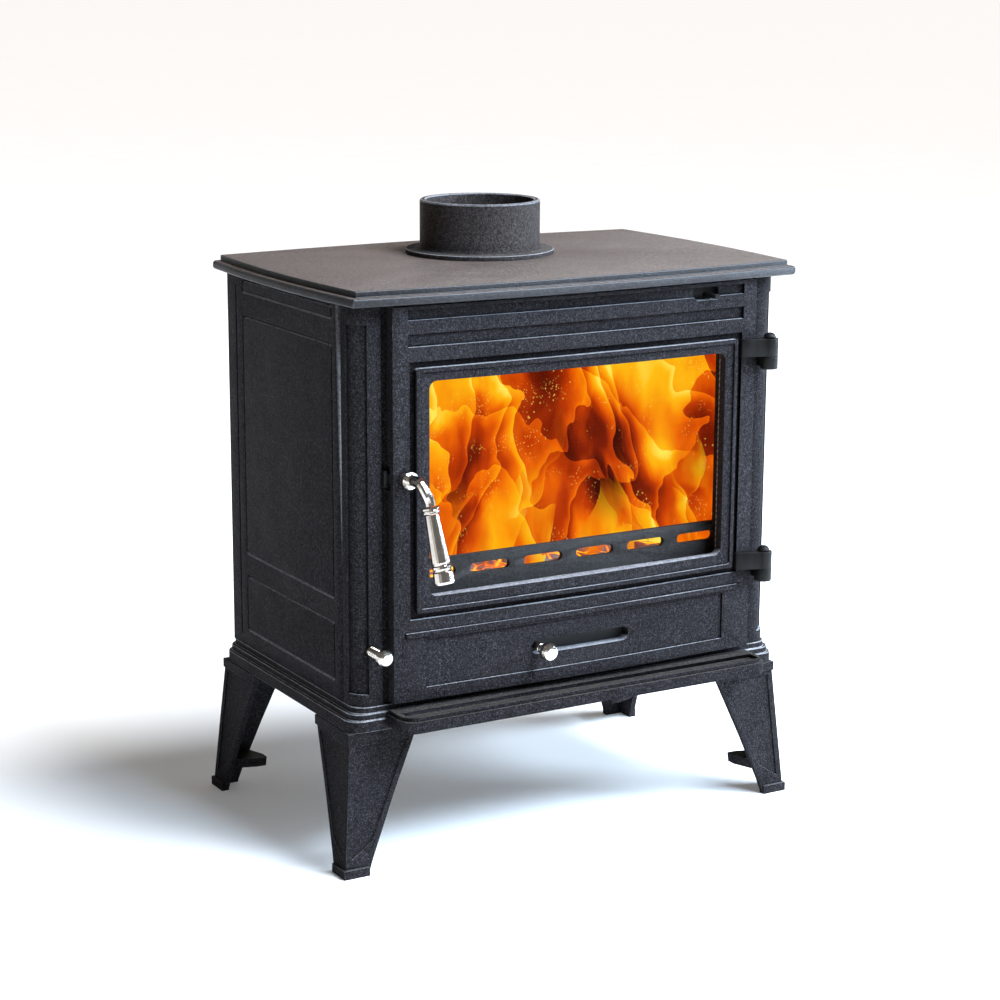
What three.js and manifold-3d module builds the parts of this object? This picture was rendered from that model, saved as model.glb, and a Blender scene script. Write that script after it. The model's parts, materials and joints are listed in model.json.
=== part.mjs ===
// A free-standing cast-iron wood-burning stove on four splayed legs, with one full-height bowed front door.
// Millimetres, +Z up, the door faces -Y and +X is to the viewer's right. The origin is under the middle of
// the stove, on the floor.
import * as THREE from "three";
import { mergeVertices } from "three/addons/utils/BufferGeometryUtils.js";
import Module from "manifold-3d";

const wasm = await Module();
wasm.setup();

// ---- Driving dimensions ----
const GAP = 0.3; // between touching castings

const TOP_Z = 640; // upper face of the top plate
const TOP_THICKNESS = 16.7;
const TOP_STEP = 6.5; // height of the upper step of its edge
const TOP_RIM = 7; // how far the lower rim stands out past the step
const TOP_HALF_WIDTH = 275;
const TOP_FRONT = -176;
const TOP_BACK = 168;
const TOP_BOW = { front: 14, back: 15, side: 9 };

const BODY_HALF_WIDTH = 274;
const BODY_BACK = 152;
const BODY_FLOOR = 187;
const WALL_BASE = BODY_FLOOR + GAP;
const WALL_TOP = TOP_Z - TOP_THICKNESS - GAP;
const PANEL_THICKNESS = 6;
const BACK_Y0 = BODY_BACK - 11; // inner face of the back panel
const SEAM_Y = -137; // where a side panel meets a corner post
const POST_RADIUS = 26;
const POST_FRONT = -164;
const POST_INNER = 240;
const FRAME_FRONT = -158; // the face that the door's rope seal bears on
const FRAME_BACK = -150;
const MOUTH = { x: 197, z0: 202, z1: 583, corner: 14 };

const DOOR_HALF_WIDTH = 233;
const DOOR_Z0 = 190;
const DOOR_Z1 = 620;
const DOOR_EDGE_Y = -176;
const DOOR_BOW = 7;
const DOOR_BACK = -168;
const RELIEF = 4; // depth of the door's grooves
const BEAD_OUT = 2.2; // how far its raised mouldings stand out
const WINDOW = { x: 190.5, z0: 305, z1: 540, corner: 9 };
const RING = { x: 213.5, z0: 281, z1: 561.5, groove: 7, bead: 4.5 };
const HINGE = { x: 244, y: -188, eye: 10, pin: 4 };
const HINGE_HEIGHTS = { upper: 534, lower: 285 };
const SPINDLE = { x: -218, z: 437, r: 6 };
const AIR_SLOT = { x: 64, z: 230, half: 8, knobX: -55 };
const AIRWASH_SLOT = { x0: 145, x1: 181, z0: 601.5, z1: 616.5, corner: 5 };

const PLINTH = { x: 281, front: -168, back: 167, z0: 160, corner: 18 };
const LIP = { x: 239, front: -213, z0: 165.5, z1: 182 };

const LEG_TOP = PLINTH.z0 - GAP;
const LEG_BAND = 9.5;
const LEG_CORNER = { x: 282, front: -164, back: 168 }; // outer corners of the bands
const BAND_PROUD = 1.5;
const LEG_WIDE = 80;
const LEG_NARROW = 28;
const LEG_WALL = 7;
const LEG_SPLAY = 12.5;
const FOOT_HEIGHT = 10;

const FLUE = { y: 49.5, outer: 69.75, bore: 62.5, flange: 86, top: 702 };
const REAR_OUTLET = { z: 520, r: 64 };

const GRATE_Z = 276;
const LINER_X = 240;
const RIDDLE = { x: -254.5, z: 250, r: 3.5, armY: -60 };

// ---- Materials ----
const finish = (color, roughness, metalness = 0) =>
  new THREE.MeshStandardMaterial({ color, roughness, metalness });
const castIron = finish(0x2b2d31, 0.62, 0.3);
const topIron = finish(0x4a4644, 0.7, 0.2);
const innerIron = finish(0x1b1a1a, 0.85, 0.2);
const blackSteel = finish(0x232120, 0.45, 0.6);
const sheetSteel = finish(0x3a3a3c, 0.5, 0.7);
const nickel = finish(0xc9c3ba, 0.18, 1);
const fireBrick = finish(0xb9a585, 0.95);
const glassFibre = finish(0x6f6c66, 1);
const stoveGlass = new THREE.MeshStandardMaterial({
  color: 0x1a1512, roughness: 0.05, transparent: true, opacity: 0.35,
});

// ---- Solids: three.js geometry in, manifold-3d for the cuts and joins ----
function solid(geometry) {
  const g = geometry.index ? geometry.toNonIndexed() : geometry.clone();
  g.deleteAttribute("normal");
  g.deleteAttribute("uv");
  const merged = mergeVertices(g, 1e-4);
  return new wasm.Manifold(
    new wasm.Mesh({
      numProp: 3,
      vertProperties: merged.attributes.position.array,
      triVerts: new Uint32Array(merged.index.array),
    }),
  );
}

function geometryOf(body) {
  const m = body.getMesh();
  const g = new THREE.BufferGeometry();
  g.setAttribute("position", new THREE.BufferAttribute(m.vertProperties, 3));
  g.setIndex(new THREE.BufferAttribute(m.triVerts, 1));
  g.computeVertexNormals();
  return g;
}

const join = (...bodies) => bodies.reduce((a, b) => a.add(b));
const cut = (body, ...tools) => tools.reduce((a, b) => a.subtract(b), body);

const box = (x0, x1, y0, y1, z0, z1) =>
  solid(
    new THREE.BoxGeometry(x1 - x0, y1 - y0, z1 - z0).translate(
      (x0 + x1) / 2, (y0 + y1) / 2, (z0 + z1) / 2,
    ),
  );

const shapeOf = (points) => new THREE.Shape(points.map(([x, y]) => new THREE.Vector2(x, y)));

function roundedRect(x0, x1, y0, y1, r) {
  const s = new THREE.Shape();
  s.moveTo(x0 + r, y0);
  s.lineTo(x1 - r, y0);
  s.absarc(x1 - r, y0 + r, r, -Math.PI / 2, 0);
  s.lineTo(x1, y1 - r);
  s.absarc(x1 - r, y1 - r, r, 0, Math.PI / 2);
  s.lineTo(x0 + r, y1);
  s.absarc(x0 + r, y1 - r, r, Math.PI / 2, Math.PI);
  s.lineTo(x0, y0 + r);
  s.absarc(x0 + r, y0 + r, r, Math.PI, Math.PI * 1.5);
  return s;
}

const COARSE = { curveSegments: 3 }; // for the rounded ends of rows of slots
const extrude = (shape, depth, options = {}) =>
  new THREE.ExtrudeGeometry(shape, { depth, bevelEnabled: false, curveSegments: 5, ...options });

// Extrusions of a plan outline up Z, of a front outline (x, z) along Y, and of a side outline (y, z) along X.
const alongZ = (shape, z0, z1, options) => solid(extrude(shape, z1 - z0, options).translate(0, 0, z0));
const alongY = (shape, y0, y1, options) =>
  solid(extrude(shape, y1 - y0, options).rotateX(Math.PI / 2).translate(0, y1, 0));
const SIDE_BASIS = new THREE.Matrix4().makeBasis(
  new THREE.Vector3(0, 1, 0), new THREE.Vector3(0, 0, 1), new THREE.Vector3(1, 0, 0),
);
const alongX = (shape, x0, x1, options) =>
  solid(extrude(shape, x1 - x0, options).applyMatrix4(SIDE_BASIS).translate(x0, 0, 0));

const cylinderZ = (x, y, z0, z1, r, sides = 24) =>
  solid(
    new THREE.CylinderGeometry(r, r, z1 - z0, sides).rotateX(Math.PI / 2).translate(x, y, (z0 + z1) / 2),
  );
const cylinderY = (x, z, y0, y1, r, sides = 24) =>
  solid(new THREE.CylinderGeometry(r, r, y1 - y0, sides).translate(x, (y0 + y1) / 2, z));

// A turned piece: profile is [radius, height] pairs from axis to axis or closed, turned about Z.
const turnedZ = (profile, sides = 32) =>
  new THREE.LatheGeometry(profile.map(([r, h]) => new THREE.Vector2(r, h)), sides).rotateX(Math.PI / 2);

function rodAlong(points, radius, sides = 10, steps = 20) {
  const path = new THREE.CatmullRomCurve3(points.map((p) => new THREE.Vector3(...p)), false, "centripetal");
  const section = new THREE.Shape();
  section.absarc(0, 0, radius, 0, Math.PI * 2);
  return solid(
    new THREE.ExtrudeGeometry(section, { steps, extrudePath: path, curveSegments: sides / 2 }),
  );
}

// A solid carried through a matrix, with its faces kept pointing out where the matrix mirrors it.
function moved(body, matrix) {
  const g = geometryOf(body).applyMatrix4(matrix);
  if (matrix.determinant() < 0) g.setIndex(Array.from(g.index.array).reverse());
  return solid(g);
}
const mirrored = (body, sx, sy) => moved(body, new THREE.Matrix4().makeScale(sx, sy, 1));
const shifted = (body, x, y, z) => moved(body, new THREE.Matrix4().makeTranslation(x, y, z));

const stove = new THREE.Group();
function add(name, shape, material, parent = stove) {
  const mesh = new THREE.Mesh(shape.isBufferGeometry ? shape : geometryOf(shape), material);
  mesh.name = name;
  parent.add(mesh);
  return mesh;
}

// ---- Top plate and flue collar ----
// A rectangle whose four sides bow outwards, grown by outset.
function bowedOutline(outset) {
  const n = 10;
  const w = TOP_HALF_WIDTH + outset;
  const front = TOP_FRONT - outset;
  const back = TOP_BACK + outset;
  const points = [];
  const side = (from, to, bowX, bowY) => {
    for (let i = 0; i < n; i++) {
      const t = i / n;
      const swell = 4 * t * (1 - t);
      points.push([
        from[0] + (to[0] - from[0]) * t + bowX * swell,
        from[1] + (to[1] - from[1]) * t + bowY * swell,
      ]);
    }
  };
  side([-w, front], [w, front], 0, -TOP_BOW.front);
  side([w, front], [w, back], TOP_BOW.side, 0);
  side([w, back], [-w, back], 0, TOP_BOW.back);
  side([-w, back], [-w, front], -TOP_BOW.side, 0);
  return shapeOf(points);
}

function topPlate() {
  const rimZ0 = TOP_Z - TOP_THICKNESS;
  const rimZ1 = TOP_Z - TOP_STEP;
  const round = 3;
  const rim = alongZ(bowedOutline(TOP_RIM - round), rimZ0 + round, rimZ1 - round, {
    bevelEnabled: true, bevelThickness: round, bevelSize: round, bevelSegments: 2,
  });
  const step = alongZ(bowedOutline(0), rimZ1 - 1, TOP_Z);
  return cut(join(rim, step), cylinderZ(0, FLUE.y, rimZ0 - 1, TOP_Z + 1, FLUE.outer, 40));
}

function flueCollar() {
  const base = TOP_Z + GAP;
  const fillet = 5;
  const filletArc = [0, 1, 2, 3].map((i) => {
    const a = (i / 3) * (Math.PI / 2);
    return [FLUE.outer + fillet * (1 - Math.sin(a)), base + 5 + fillet * (1 - Math.cos(a))];
  });
  return turnedZ(
    [
      [FLUE.bore, base], [FLUE.flange, base], [FLUE.flange, base + 5], ...filletArc,
      [FLUE.outer, FLUE.top - 1.5], [FLUE.outer - 1.5, FLUE.top], [FLUE.bore + 1, FLUE.top],
      [FLUE.bore, FLUE.top - 1], [FLUE.bore, base],
    ],
    40,
  ).translate(0, FLUE.y, 0);
}

add("top_plate", topPlate(), topIron);
add("flue_collar", flueCollar(), castIron);

// ---- Base casting and ash lip ----
function plinth() {
  const layer = (inset, z0, z1) =>
    alongZ(
      roundedRect(
        -PLINTH.x + inset, PLINTH.x - inset, PLINTH.front + inset * 0.5, PLINTH.back - inset * 0.3, PLINTH.corner,
      ),
      z0, z1,
    );
  const steps = join(
    layer(0, PLINTH.z0, PLINTH.z0 + 13),
    layer(3.5, PLINTH.z0 + 12, PLINTH.z0 + 20),
    layer(7.5, PLINTH.z0 + 19, BODY_FLOOR),
  );
  const wall = 14;
  const underside = box(
    -PLINTH.x + wall, PLINTH.x - wall, PLINTH.front + wall, PLINTH.back - wall, PLINTH.z0 - 1, PLINTH.z0 + 20,
  );
  return cut(steps, underside);
}

// The lip's plan outline, shrunk by inset, from the plinth to its rounded front corners.
function lipOutline(inset) {
  const x = LIP.x - inset;
  const front = LIP.front + inset;
  const back = PLINTH.front - GAP;
  const reach = 17;
  const corner = [0, 1, 2, 3, 4].map((i) => {
    const a = (i / 4) * (Math.PI / 2);
    return [x - reach + reach * Math.cos(a), front + reach - reach * Math.sin(a)];
  });
  return shapeOf([[-x, back], ...corner.map(([u, v]) => [-u, v]), ...corner.reverse(), [x, back]]);
}

function ashLip() {
  const tray = box(-LIP.x + 9, LIP.x - 9, LIP.front + 8, PLINTH.front - 18, LIP.z1 - 4, LIP.z1 + 1);
  return cut(
    join(alongZ(lipOutline(0), LIP.z0, LIP.z1 - 4), alongZ(lipOutline(3.5), LIP.z1 - 5, LIP.z1)), tray,
  );
}

add("base_casting", plinth(), castIron);
add("ash_lip", ashLip(), castIron);

// ---- Legs: an L of two tapered walls that lean outwards, under a band, on a flared foot ----
function legFace() {
  const height = LEG_TOP - LEG_BAND;
  const inner = [];
  for (let i = 0; i <= 8; i++) {
    const t = i / 8;
    inner.push([LEG_NARROW + (LEG_WIDE - LEG_NARROW) * Math.pow(t, 1.1), height * t]);
  }
  return { outline: [[0, 0], ...inner, [0, height]], inner, height };
}

// Leans a wall that stands in the plane y = 0 with its outer edge on x = 0, outwards towards its foot.
function leaned(body, height) {
  const lean = LEG_SPLAY / height;
  return moved(
    body,
    new THREE.Matrix4().set(1, 0, lean, -LEG_SPLAY, 0, 1, lean, -LEG_SPLAY, 0, 0, 1, 0, 0, 0, 0, 1),
  );
}

// One wall, with a panel sunk into its outer face inside a raised border.
function legWall() {
  const { outline, inner, height } = legFace();
  const border = 7;
  const panel = [
    [border, FOOT_HEIGHT + 10],
    ...inner.filter(([, z]) => z > FOOT_HEIGHT + 10).map(([u, z]) => [u - border, Math.min(z, height - 6)]),
    [border, height - 6],
  ];
  const wall = alongY(shapeOf(outline), 0, LEG_WALL);
  return cut(wall, alongY(shapeOf(panel), -1, 1.5));
}

// The front left leg, with its outer corner at the origin of x and y.
function leg() {
  const height = LEG_TOP - LEG_BAND;
  const swap = new THREE.Matrix4().makeBasis(
    new THREE.Vector3(0, 1, 0), new THREE.Vector3(1, 0, 0), new THREE.Vector3(0, 0, 1),
  );
  const front = legWall();
  const side = moved(front, swap);
  const lug = alongZ(
    shapeOf([[2, 2], [34, 2], [45, 33], [45, 45], [33, 45], [2, 34]]), 30, 41,
  );
  const walls = leaned(join(front, side, lug), height);
  const flare = 2;
  const out = LEG_SPLAY + flare;
  const foot = alongZ(
    shapeOf([
      [-out, -out], [LEG_NARROW - LEG_SPLAY + 1, -out], [LEG_NARROW - LEG_SPLAY + 1, -LEG_SPLAY + LEG_WALL],
      [-LEG_SPLAY + LEG_WALL, -LEG_SPLAY + LEG_WALL], [-LEG_SPLAY + LEG_WALL, LEG_NARROW - LEG_SPLAY + 1],
      [-out, LEG_NARROW - LEG_SPLAY + 1],
    ]),
    0, FOOT_HEIGHT,
  );
  const band = cut(
    box(-BAND_PROUD, LEG_WIDE + 2, -BAND_PROUD, LEG_WIDE + 2, height - 1, LEG_TOP),
    alongZ(shapeOf([[LEG_WIDE + 3, 30], [30, LEG_WIDE + 3], [LEG_WIDE + 3, LEG_WIDE + 3]]), height - 2, LEG_TOP + 1),
  );
  return join(walls, foot, band);
}

const legBody = leg();
for (const [name, sx, sy] of [
  ["leg_front_left", -1, -1], ["leg_front_right", 1, -1], ["leg_rear_left", -1, 1], ["leg_rear_right", 1, 1],
]) {
  const cornerX = sx * (LEG_CORNER.x - BAND_PROUD);
  const cornerY = sy < 0 ? LEG_CORNER.front + BAND_PROUD : LEG_CORNER.back - BAND_PROUD;
  add(name, shifted(mirrored(legBody, -sx, -sy), cornerX, cornerY, 0), castIron);
}

// ---- Side panels, back panel and rear outlet cover ----
function sidePanel() {
  const x0 = -BODY_HALF_WIDTH;
  const x1 = x0 + PANEL_THICKNESS;
  const [depth, width, slope] = [2, 1, 1.8];
  const plate = box(x0, x1, SEAM_Y + GAP, BODY_BACK, WALL_BASE, WALL_TOP);
  // A groove that outlines a panel, with both its sides sloped. Each of its two solids tapers at its ends.
  const tapered = (inset, z0, z1, from, to, taper) =>
    alongX(roundedRect(-117 + inset, 113 - inset, z0 + inset, z1 - inset, 5), from, to, {
      bevelEnabled: true, bevelThickness: taper, bevelSize: slope, bevelOffset: -slope, bevelSegments: 1,
    });
  const outline = (z0, z1) =>
    cut(
      tapered(0, z0, z1, x0 - 1, x0, depth),
      tapered(slope + width, z0, z1, x0 + depth, x0 + depth + 1, depth + 1),
    );
  // A lip that closes the seam behind the corner post.
  const lip = join(
    box(x1 + GAP, x1 + 2.6, FRAME_BACK + GAP, SEAM_Y + 4, WALL_BASE, WALL_TOP),
    box(x1 - 1, x1 + 2.6, SEAM_Y + GAP, SEAM_Y + 4, WALL_BASE, WALL_TOP),
  );
  const grateLedge = box(x1 - 1, x1 + 22, SEAM_Y + 2, BACK_Y0 - 8, GRATE_Z - 12, GRATE_Z - GAP);
  const groove = box(x0 - 1, x0 + 1, 127, 130, WALL_BASE + 12, WALL_TOP - 12);
  return cut(
    join(plate, grateLedge, lip), outline(603, WALL_TOP - 3), outline(298, 579), outline(206, 275), groove,
  );
}

const side = sidePanel();
add("side_panel_left", side, castIron);
add("side_panel_right", mirrored(side, -1, 1), castIron);

const backX = BODY_HALF_WIDTH - PANEL_THICKNESS - GAP;
const backRecess = alongY(roundedRect(-backX + 24, backX - 24, 215, 420, 6), BACK_Y0 + 6, BACK_Y0 + 10);
add(
  "back_panel",
  cut(
    box(-backX, backX, BACK_Y0, BACK_Y0 + 8, WALL_BASE, WALL_TOP),
    backRecess,
    cylinderY(0, REAR_OUTLET.z, BACK_Y0 - 1, BACK_Y0 + 9, REAR_OUTLET.r, 32),
  ),
  castIron,
);
add(
  "rear_outlet_cover",
  join(
    cylinderY(0, REAR_OUTLET.z, BACK_Y0, BACK_Y0 + 9, REAR_OUTLET.r - GAP, 32),
    cylinderY(0, REAR_OUTLET.z, BACK_Y0 + 8 + GAP, BACK_Y0 + 14, REAR_OUTLET.r + 18, 32),
    cylinderY(0, REAR_OUTLET.z, BACK_Y0 + 13, BACK_Y0 + 16, REAR_OUTLET.r - 14, 32),
  ),
  castIron,
);
for (const [name, sx] of [["cover_bolt_left", -1], ["cover_bolt_right", 1]])
  add(
    name, cylinderY(sx * (REAR_OUTLET.r + 8), REAR_OUTLET.z, BACK_Y0 + 14 + GAP, BACK_Y0 + 19, 6.5, 6),
    blackSteel,
  );

// ---- Front frame: two rounded, fluted corner posts round the firebox mouth ----
// The plan outline of a post's curved face, as an arc about the post's centre, reaching radius from it.
function postArc(radius, from, to) {
  const centre = [BODY_HALF_WIDTH - POST_RADIUS, POST_FRONT + POST_RADIUS];
  const n = 8;
  return Array.from({ length: n + 1 }, (_, i) => {
    const a = from + ((to - from) * i) / n;
    return [centre[0] + radius * Math.cos(a), centre[1] - radius * Math.sin(a)];
  });
}

function cornerPost() {
  const end = Math.acos((POST_INNER - (BODY_HALF_WIDTH - POST_RADIUS)) / POST_RADIUS);
  const arc = postArc(POST_RADIUS, 0, end);
  const post = alongZ(
    shapeOf([
      [POST_INNER, FRAME_BACK], [BODY_HALF_WIDTH - PANEL_THICKNESS, FRAME_BACK],
      [BODY_HALF_WIDTH - PANEL_THICKNESS, SEAM_Y - GAP], [BODY_HALF_WIDTH, SEAM_Y - GAP], ...arc,
    ].reverse()),
    WALL_BASE, WALL_TOP,
  );
  const [depth, start, stop] = [3, 0.3, 1.25];
  const flute = alongZ(
    shapeOf([...postArc(POST_RADIUS + 6, start, stop), ...postArc(POST_RADIUS - depth, start, stop).reverse()]
      .reverse()),
    WALL_BASE + 13, WALL_TOP - 21,
  );
  return cut(post, flute);
}

function frontFrame() {
  const right = cornerPost();
  const plate = cut(
    box(-POST_INNER - 1, POST_INNER + 1, FRAME_FRONT, FRAME_BACK, WALL_BASE, WALL_TOP),
    alongY(roundedRect(-MOUTH.x, MOUTH.x, MOUTH.z0, MOUTH.z1, MOUTH.corner), FRAME_FRONT - 1, FRAME_BACK + 1),
  );
  const rodHole = cylinderY(RIDDLE.x, RIDDLE.z, POST_FRONT - 2, FRAME_BACK + 1, RIDDLE.r + 0.7, 16);
  return cut(join(plate, right, mirrored(right, -1, 1)), rodHole);
}

add("front_frame", frontFrame(), castIron);

// Hinge knuckles on the right-hand post, with their pins.
function hingeKnuckle(z) {
  const z1 = z - 0.4;
  const z0 = z1 - 14.5;
  const eye = cylinderZ(HINGE.x, HINGE.y, z0, z1, HINGE.eye);
  const web = box(HINGE.x, HINGE.x + HINGE.eye, HINGE.y, POST_FRONT + 3, z0, z1);
  const post = cornerPost();
  return cut(
    join(eye, web), shifted(post, 0, -GAP, 0),
    cylinderZ(HINGE.x, HINGE.y, z0 - 1, z1 + 1, HINGE.pin + 0.15),
  );
}

function hingePin(z) {
  const top = z + 20 + 0.5;
  return turnedZ([
    [0, z - 16], [HINGE.pin, z - 16], [HINGE.pin, top], [7, top], [7, top + 1.5], [5.8, top + 4], [3.4, top + 5.6],
    [0, top + 6.2],
  ], 20).translate(HINGE.x, HINGE.y, 0);
}

for (const [name, z] of Object.entries(HINGE_HEIGHTS)) {
  add("hinge_knuckle_" + name, hingeKnuckle(z), blackSteel);
  add("hinge_pin_" + name, hingePin(z), blackSteel);
}

const keeperX = [-POST_INNER + GAP, -DOOR_HALF_WIDTH - 2.2];
add(
  "latch_keeper",
  box(...keeperX, FRAME_FRONT - 10, FRAME_FRONT - GAP, SPINDLE.z - 9, SPINDLE.z + 9),
  blackSteel,
);

// ---- Firebox: grate, liners, baffle, log retainer, ash pan ----
const SHUTTLE_HALF = 185;
function grateFrame() {
  const x = BODY_HALF_WIDTH - PANEL_THICKNESS - 3;
  const y0 = -134;
  const y1 = BACK_Y0 - 4;
  const z1 = GRATE_Z + 16;
  let body = box(-x, x, y0, y1, GRATE_Z, z1);
  for (let i = -4; i <= 4; i++)
    body = cut(body, alongZ(roundedRect(i * 38 - 8, i * 38 + 8, -100, 100, 7.9), GRATE_Z - 1, z1 + 1, COARSE));
  for (const s of [-1, 1]) {
    const [a, b] = [s * (SHUTTLE_HALF + 1), s * (SHUTTLE_HALF + 7)].sort((p, q) => p - q);
    const [c, d] = [s * (SHUTTLE_HALF - 6), s * (SHUTTLE_HALF + 7)].sort((p, q) => p - q);
    body = join(
      body, box(a, b, -115, 115, GRATE_Z - 16, GRATE_Z + 1), box(c, d, -115, 115, GRATE_Z - 19, GRATE_Z - 15),
    );
  }
  return body;
}

function shuttleGrate() {
  const z0 = GRATE_Z - 14;
  let body = box(-SHUTTLE_HALF, SHUTTLE_HALF, -78, 108, z0, z0 + 8);
  for (let i = -4; i <= 4; i++)
    body = cut(body, alongZ(roundedRect(i * 38 - 7, i * 38 + 7, -64, 94, 6.9), z0 - 1, z0 + 9, COARSE));
  const lug = box(-178, -170, RIDDLE.armY - 9, RIDDLE.armY + 9, RIDDLE.z - 8, z0 + 1);
  const bore = solid(
    new THREE.CylinderGeometry(RIDDLE.r + 0.4, RIDDLE.r + 0.4, 20, 16)
      .rotateZ(Math.PI / 2).translate(-174, RIDDLE.armY, RIDDLE.z),
  );
  return cut(join(body, lug), bore);
}

add("grate_frame", grateFrame(), innerIron);

const linerBase = GRATE_Z + 16 + GAP;
const linerTop = 560;
add("fire_brick_left", box(-BODY_HALF_WIDTH + PANEL_THICKNESS + 3, -LINER_X, -134, BACK_Y0 - 6, linerBase, linerTop), fireBrick);
add("fire_brick_right", box(LINER_X, BODY_HALF_WIDTH - PANEL_THICKNESS - 3, -134, BACK_Y0 - 6, linerBase, linerTop), fireBrick);
const backBrick = LINER_X - GAP;
add("fire_brick_rear_left", box(-backBrick, -GAP / 2, BACK_Y0 - 26, BACK_Y0 - 6, linerBase, linerTop), fireBrick);
add("fire_brick_rear_right", box(GAP / 2, backBrick, BACK_Y0 - 26, BACK_Y0 - 6, linerBase, linerTop), fireBrick);
add(
  "baffle_plate",
  join(
    box(-252, 252, -30, BACK_Y0 - 8, linerTop + GAP, linerTop + 10),
    box(-220, 220, -36, -28, linerTop + GAP, linerTop + 18),
  ),
  innerIron,
);

function logRetainer() {
  const z0 = GRATE_Z + 16 + GAP;
  const z1 = 338;
  let body = box(-204, 204, FRAME_BACK + GAP, FRAME_BACK + 6, z0, z1);
  for (let i = 0; i < 6; i++) {
    const x = (i - 2.5) * 68.3 + 3;
    body = cut(
      body, alongY(roundedRect(x - 25, x + 25, z0 + 24, z0 + 35, 5.4), FRAME_BACK - 1, FRAME_BACK + 7, COARSE),
    );
  }
  const lip = box(-204, 204, FRAME_BACK + GAP, FRAME_BACK + 14, z0, z0 + 5);
  return join(body, lip);
}
add("log_retainer", logRetainer(), innerIron);

function ashPan() {
  const wall = 2;
  const [x, y0, y1, z0, z1] = [188, -138, 108, BODY_FLOOR + GAP + 0.2, 232];
  const tray = cut(box(-x, x, y0, y1, z0, z1), box(-x + wall, x - wall, y0 + wall, y1 - wall, z0 + wall, z1 + 1));
  const loop = cut(
    box(-40, 40, y0 - 14, y0 + 1, 212, 218), box(-34, 34, y0 - 8, y0, 211, 219),
  );
  return join(tray, loop);
}
add("ash_pan", ashPan(), sheetSteel);

// ---- Riddling: knob and bent rod, which slide the shuttle grate under the fixed one ----
const riddling = new THREE.Group();
stove.add(riddling);

// A turned knob on its ringed neck. Height zero is the back of its head, and its face looks along -Y.
function turnedKnob(radius, neck) {
  const count = Math.round((neck - 3) / 4.5);
  const pitch = (neck - 3) / count;
  const rings = Array.from({ length: count }, (_, i) => i * pitch - neck).flatMap((h) => [
    [4.9, h], [5.5, h + 0.6], [5.5, h + pitch - 1.8], [4.9, h + pitch - 1.2], [4, h + pitch - 1.1], [4, h + pitch],
  ]);
  return turnedZ([
    [0, -neck], ...rings, [4, -2], [radius * 0.72, 0], [radius, 3], [radius, 8], [radius * 0.82, 11], [radius * 0.5, 12.2], [0, 12.5],
  ], 20).rotateX(Math.PI / 2);
}

const knobNeck = 25;
const neckEnd = POST_FRONT - GAP; // in front of the post that the rod comes out of
add("riddling_knob", turnedKnob(9, knobNeck).translate(RIDDLE.x, neckEnd - knobNeck, RIDDLE.z), nickel, riddling);
add(
  "riddling_rod",
  join(
    cylinderY(RIDDLE.x, RIDDLE.z, neckEnd + GAP, RIDDLE.armY + RIDDLE.r, RIDDLE.r, 12),
    solid(
      new THREE.CylinderGeometry(RIDDLE.r, RIDDLE.r, 91, 12)
        .rotateZ(Math.PI / 2).translate(RIDDLE.x + 44, RIDDLE.armY, RIDDLE.z),
    ),
  ),
  blackSteel, riddling,
);
add("shuttle_grate", shuttleGrate(), innerIron, riddling);

// ---- Door ----
const door = new THREE.Group();
stove.add(door);

const doorFront = (x) => DOOR_EDGE_Y - DOOR_BOW * (1 - (x / DOOR_HALF_WIDTH) ** 2);

// A band between two offsets of the door's bowed front, over a width and a height. Out is in front of it.
function onDoor(x0, x1, z0, z1, out, sunk) {
  const n = Math.max(2, Math.ceil((x1 - x0) / 36));
  const line = (offset) =>
    Array.from({ length: n + 1 }, (_, i) => {
      const x = x0 + ((x1 - x0) * i) / n;
      return [x, doorFront(x) + offset];
    });
  return alongZ(shapeOf([...line(-out), ...line(sunk).reverse()]), z0, z1);
}

const doorRing = (outset, out, sunk, width) => {
  const [x, z0, z1] = [RING.x + outset, RING.z0 - outset, RING.z1 + outset];
  const hole = roundedRect(-x + width, x - width, z0 + width, z1 - width, 3);
  return cut(onDoor(-x, x, z0, z1, out, sunk), alongY(hole, -200, DOOR_BACK));
};

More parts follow.
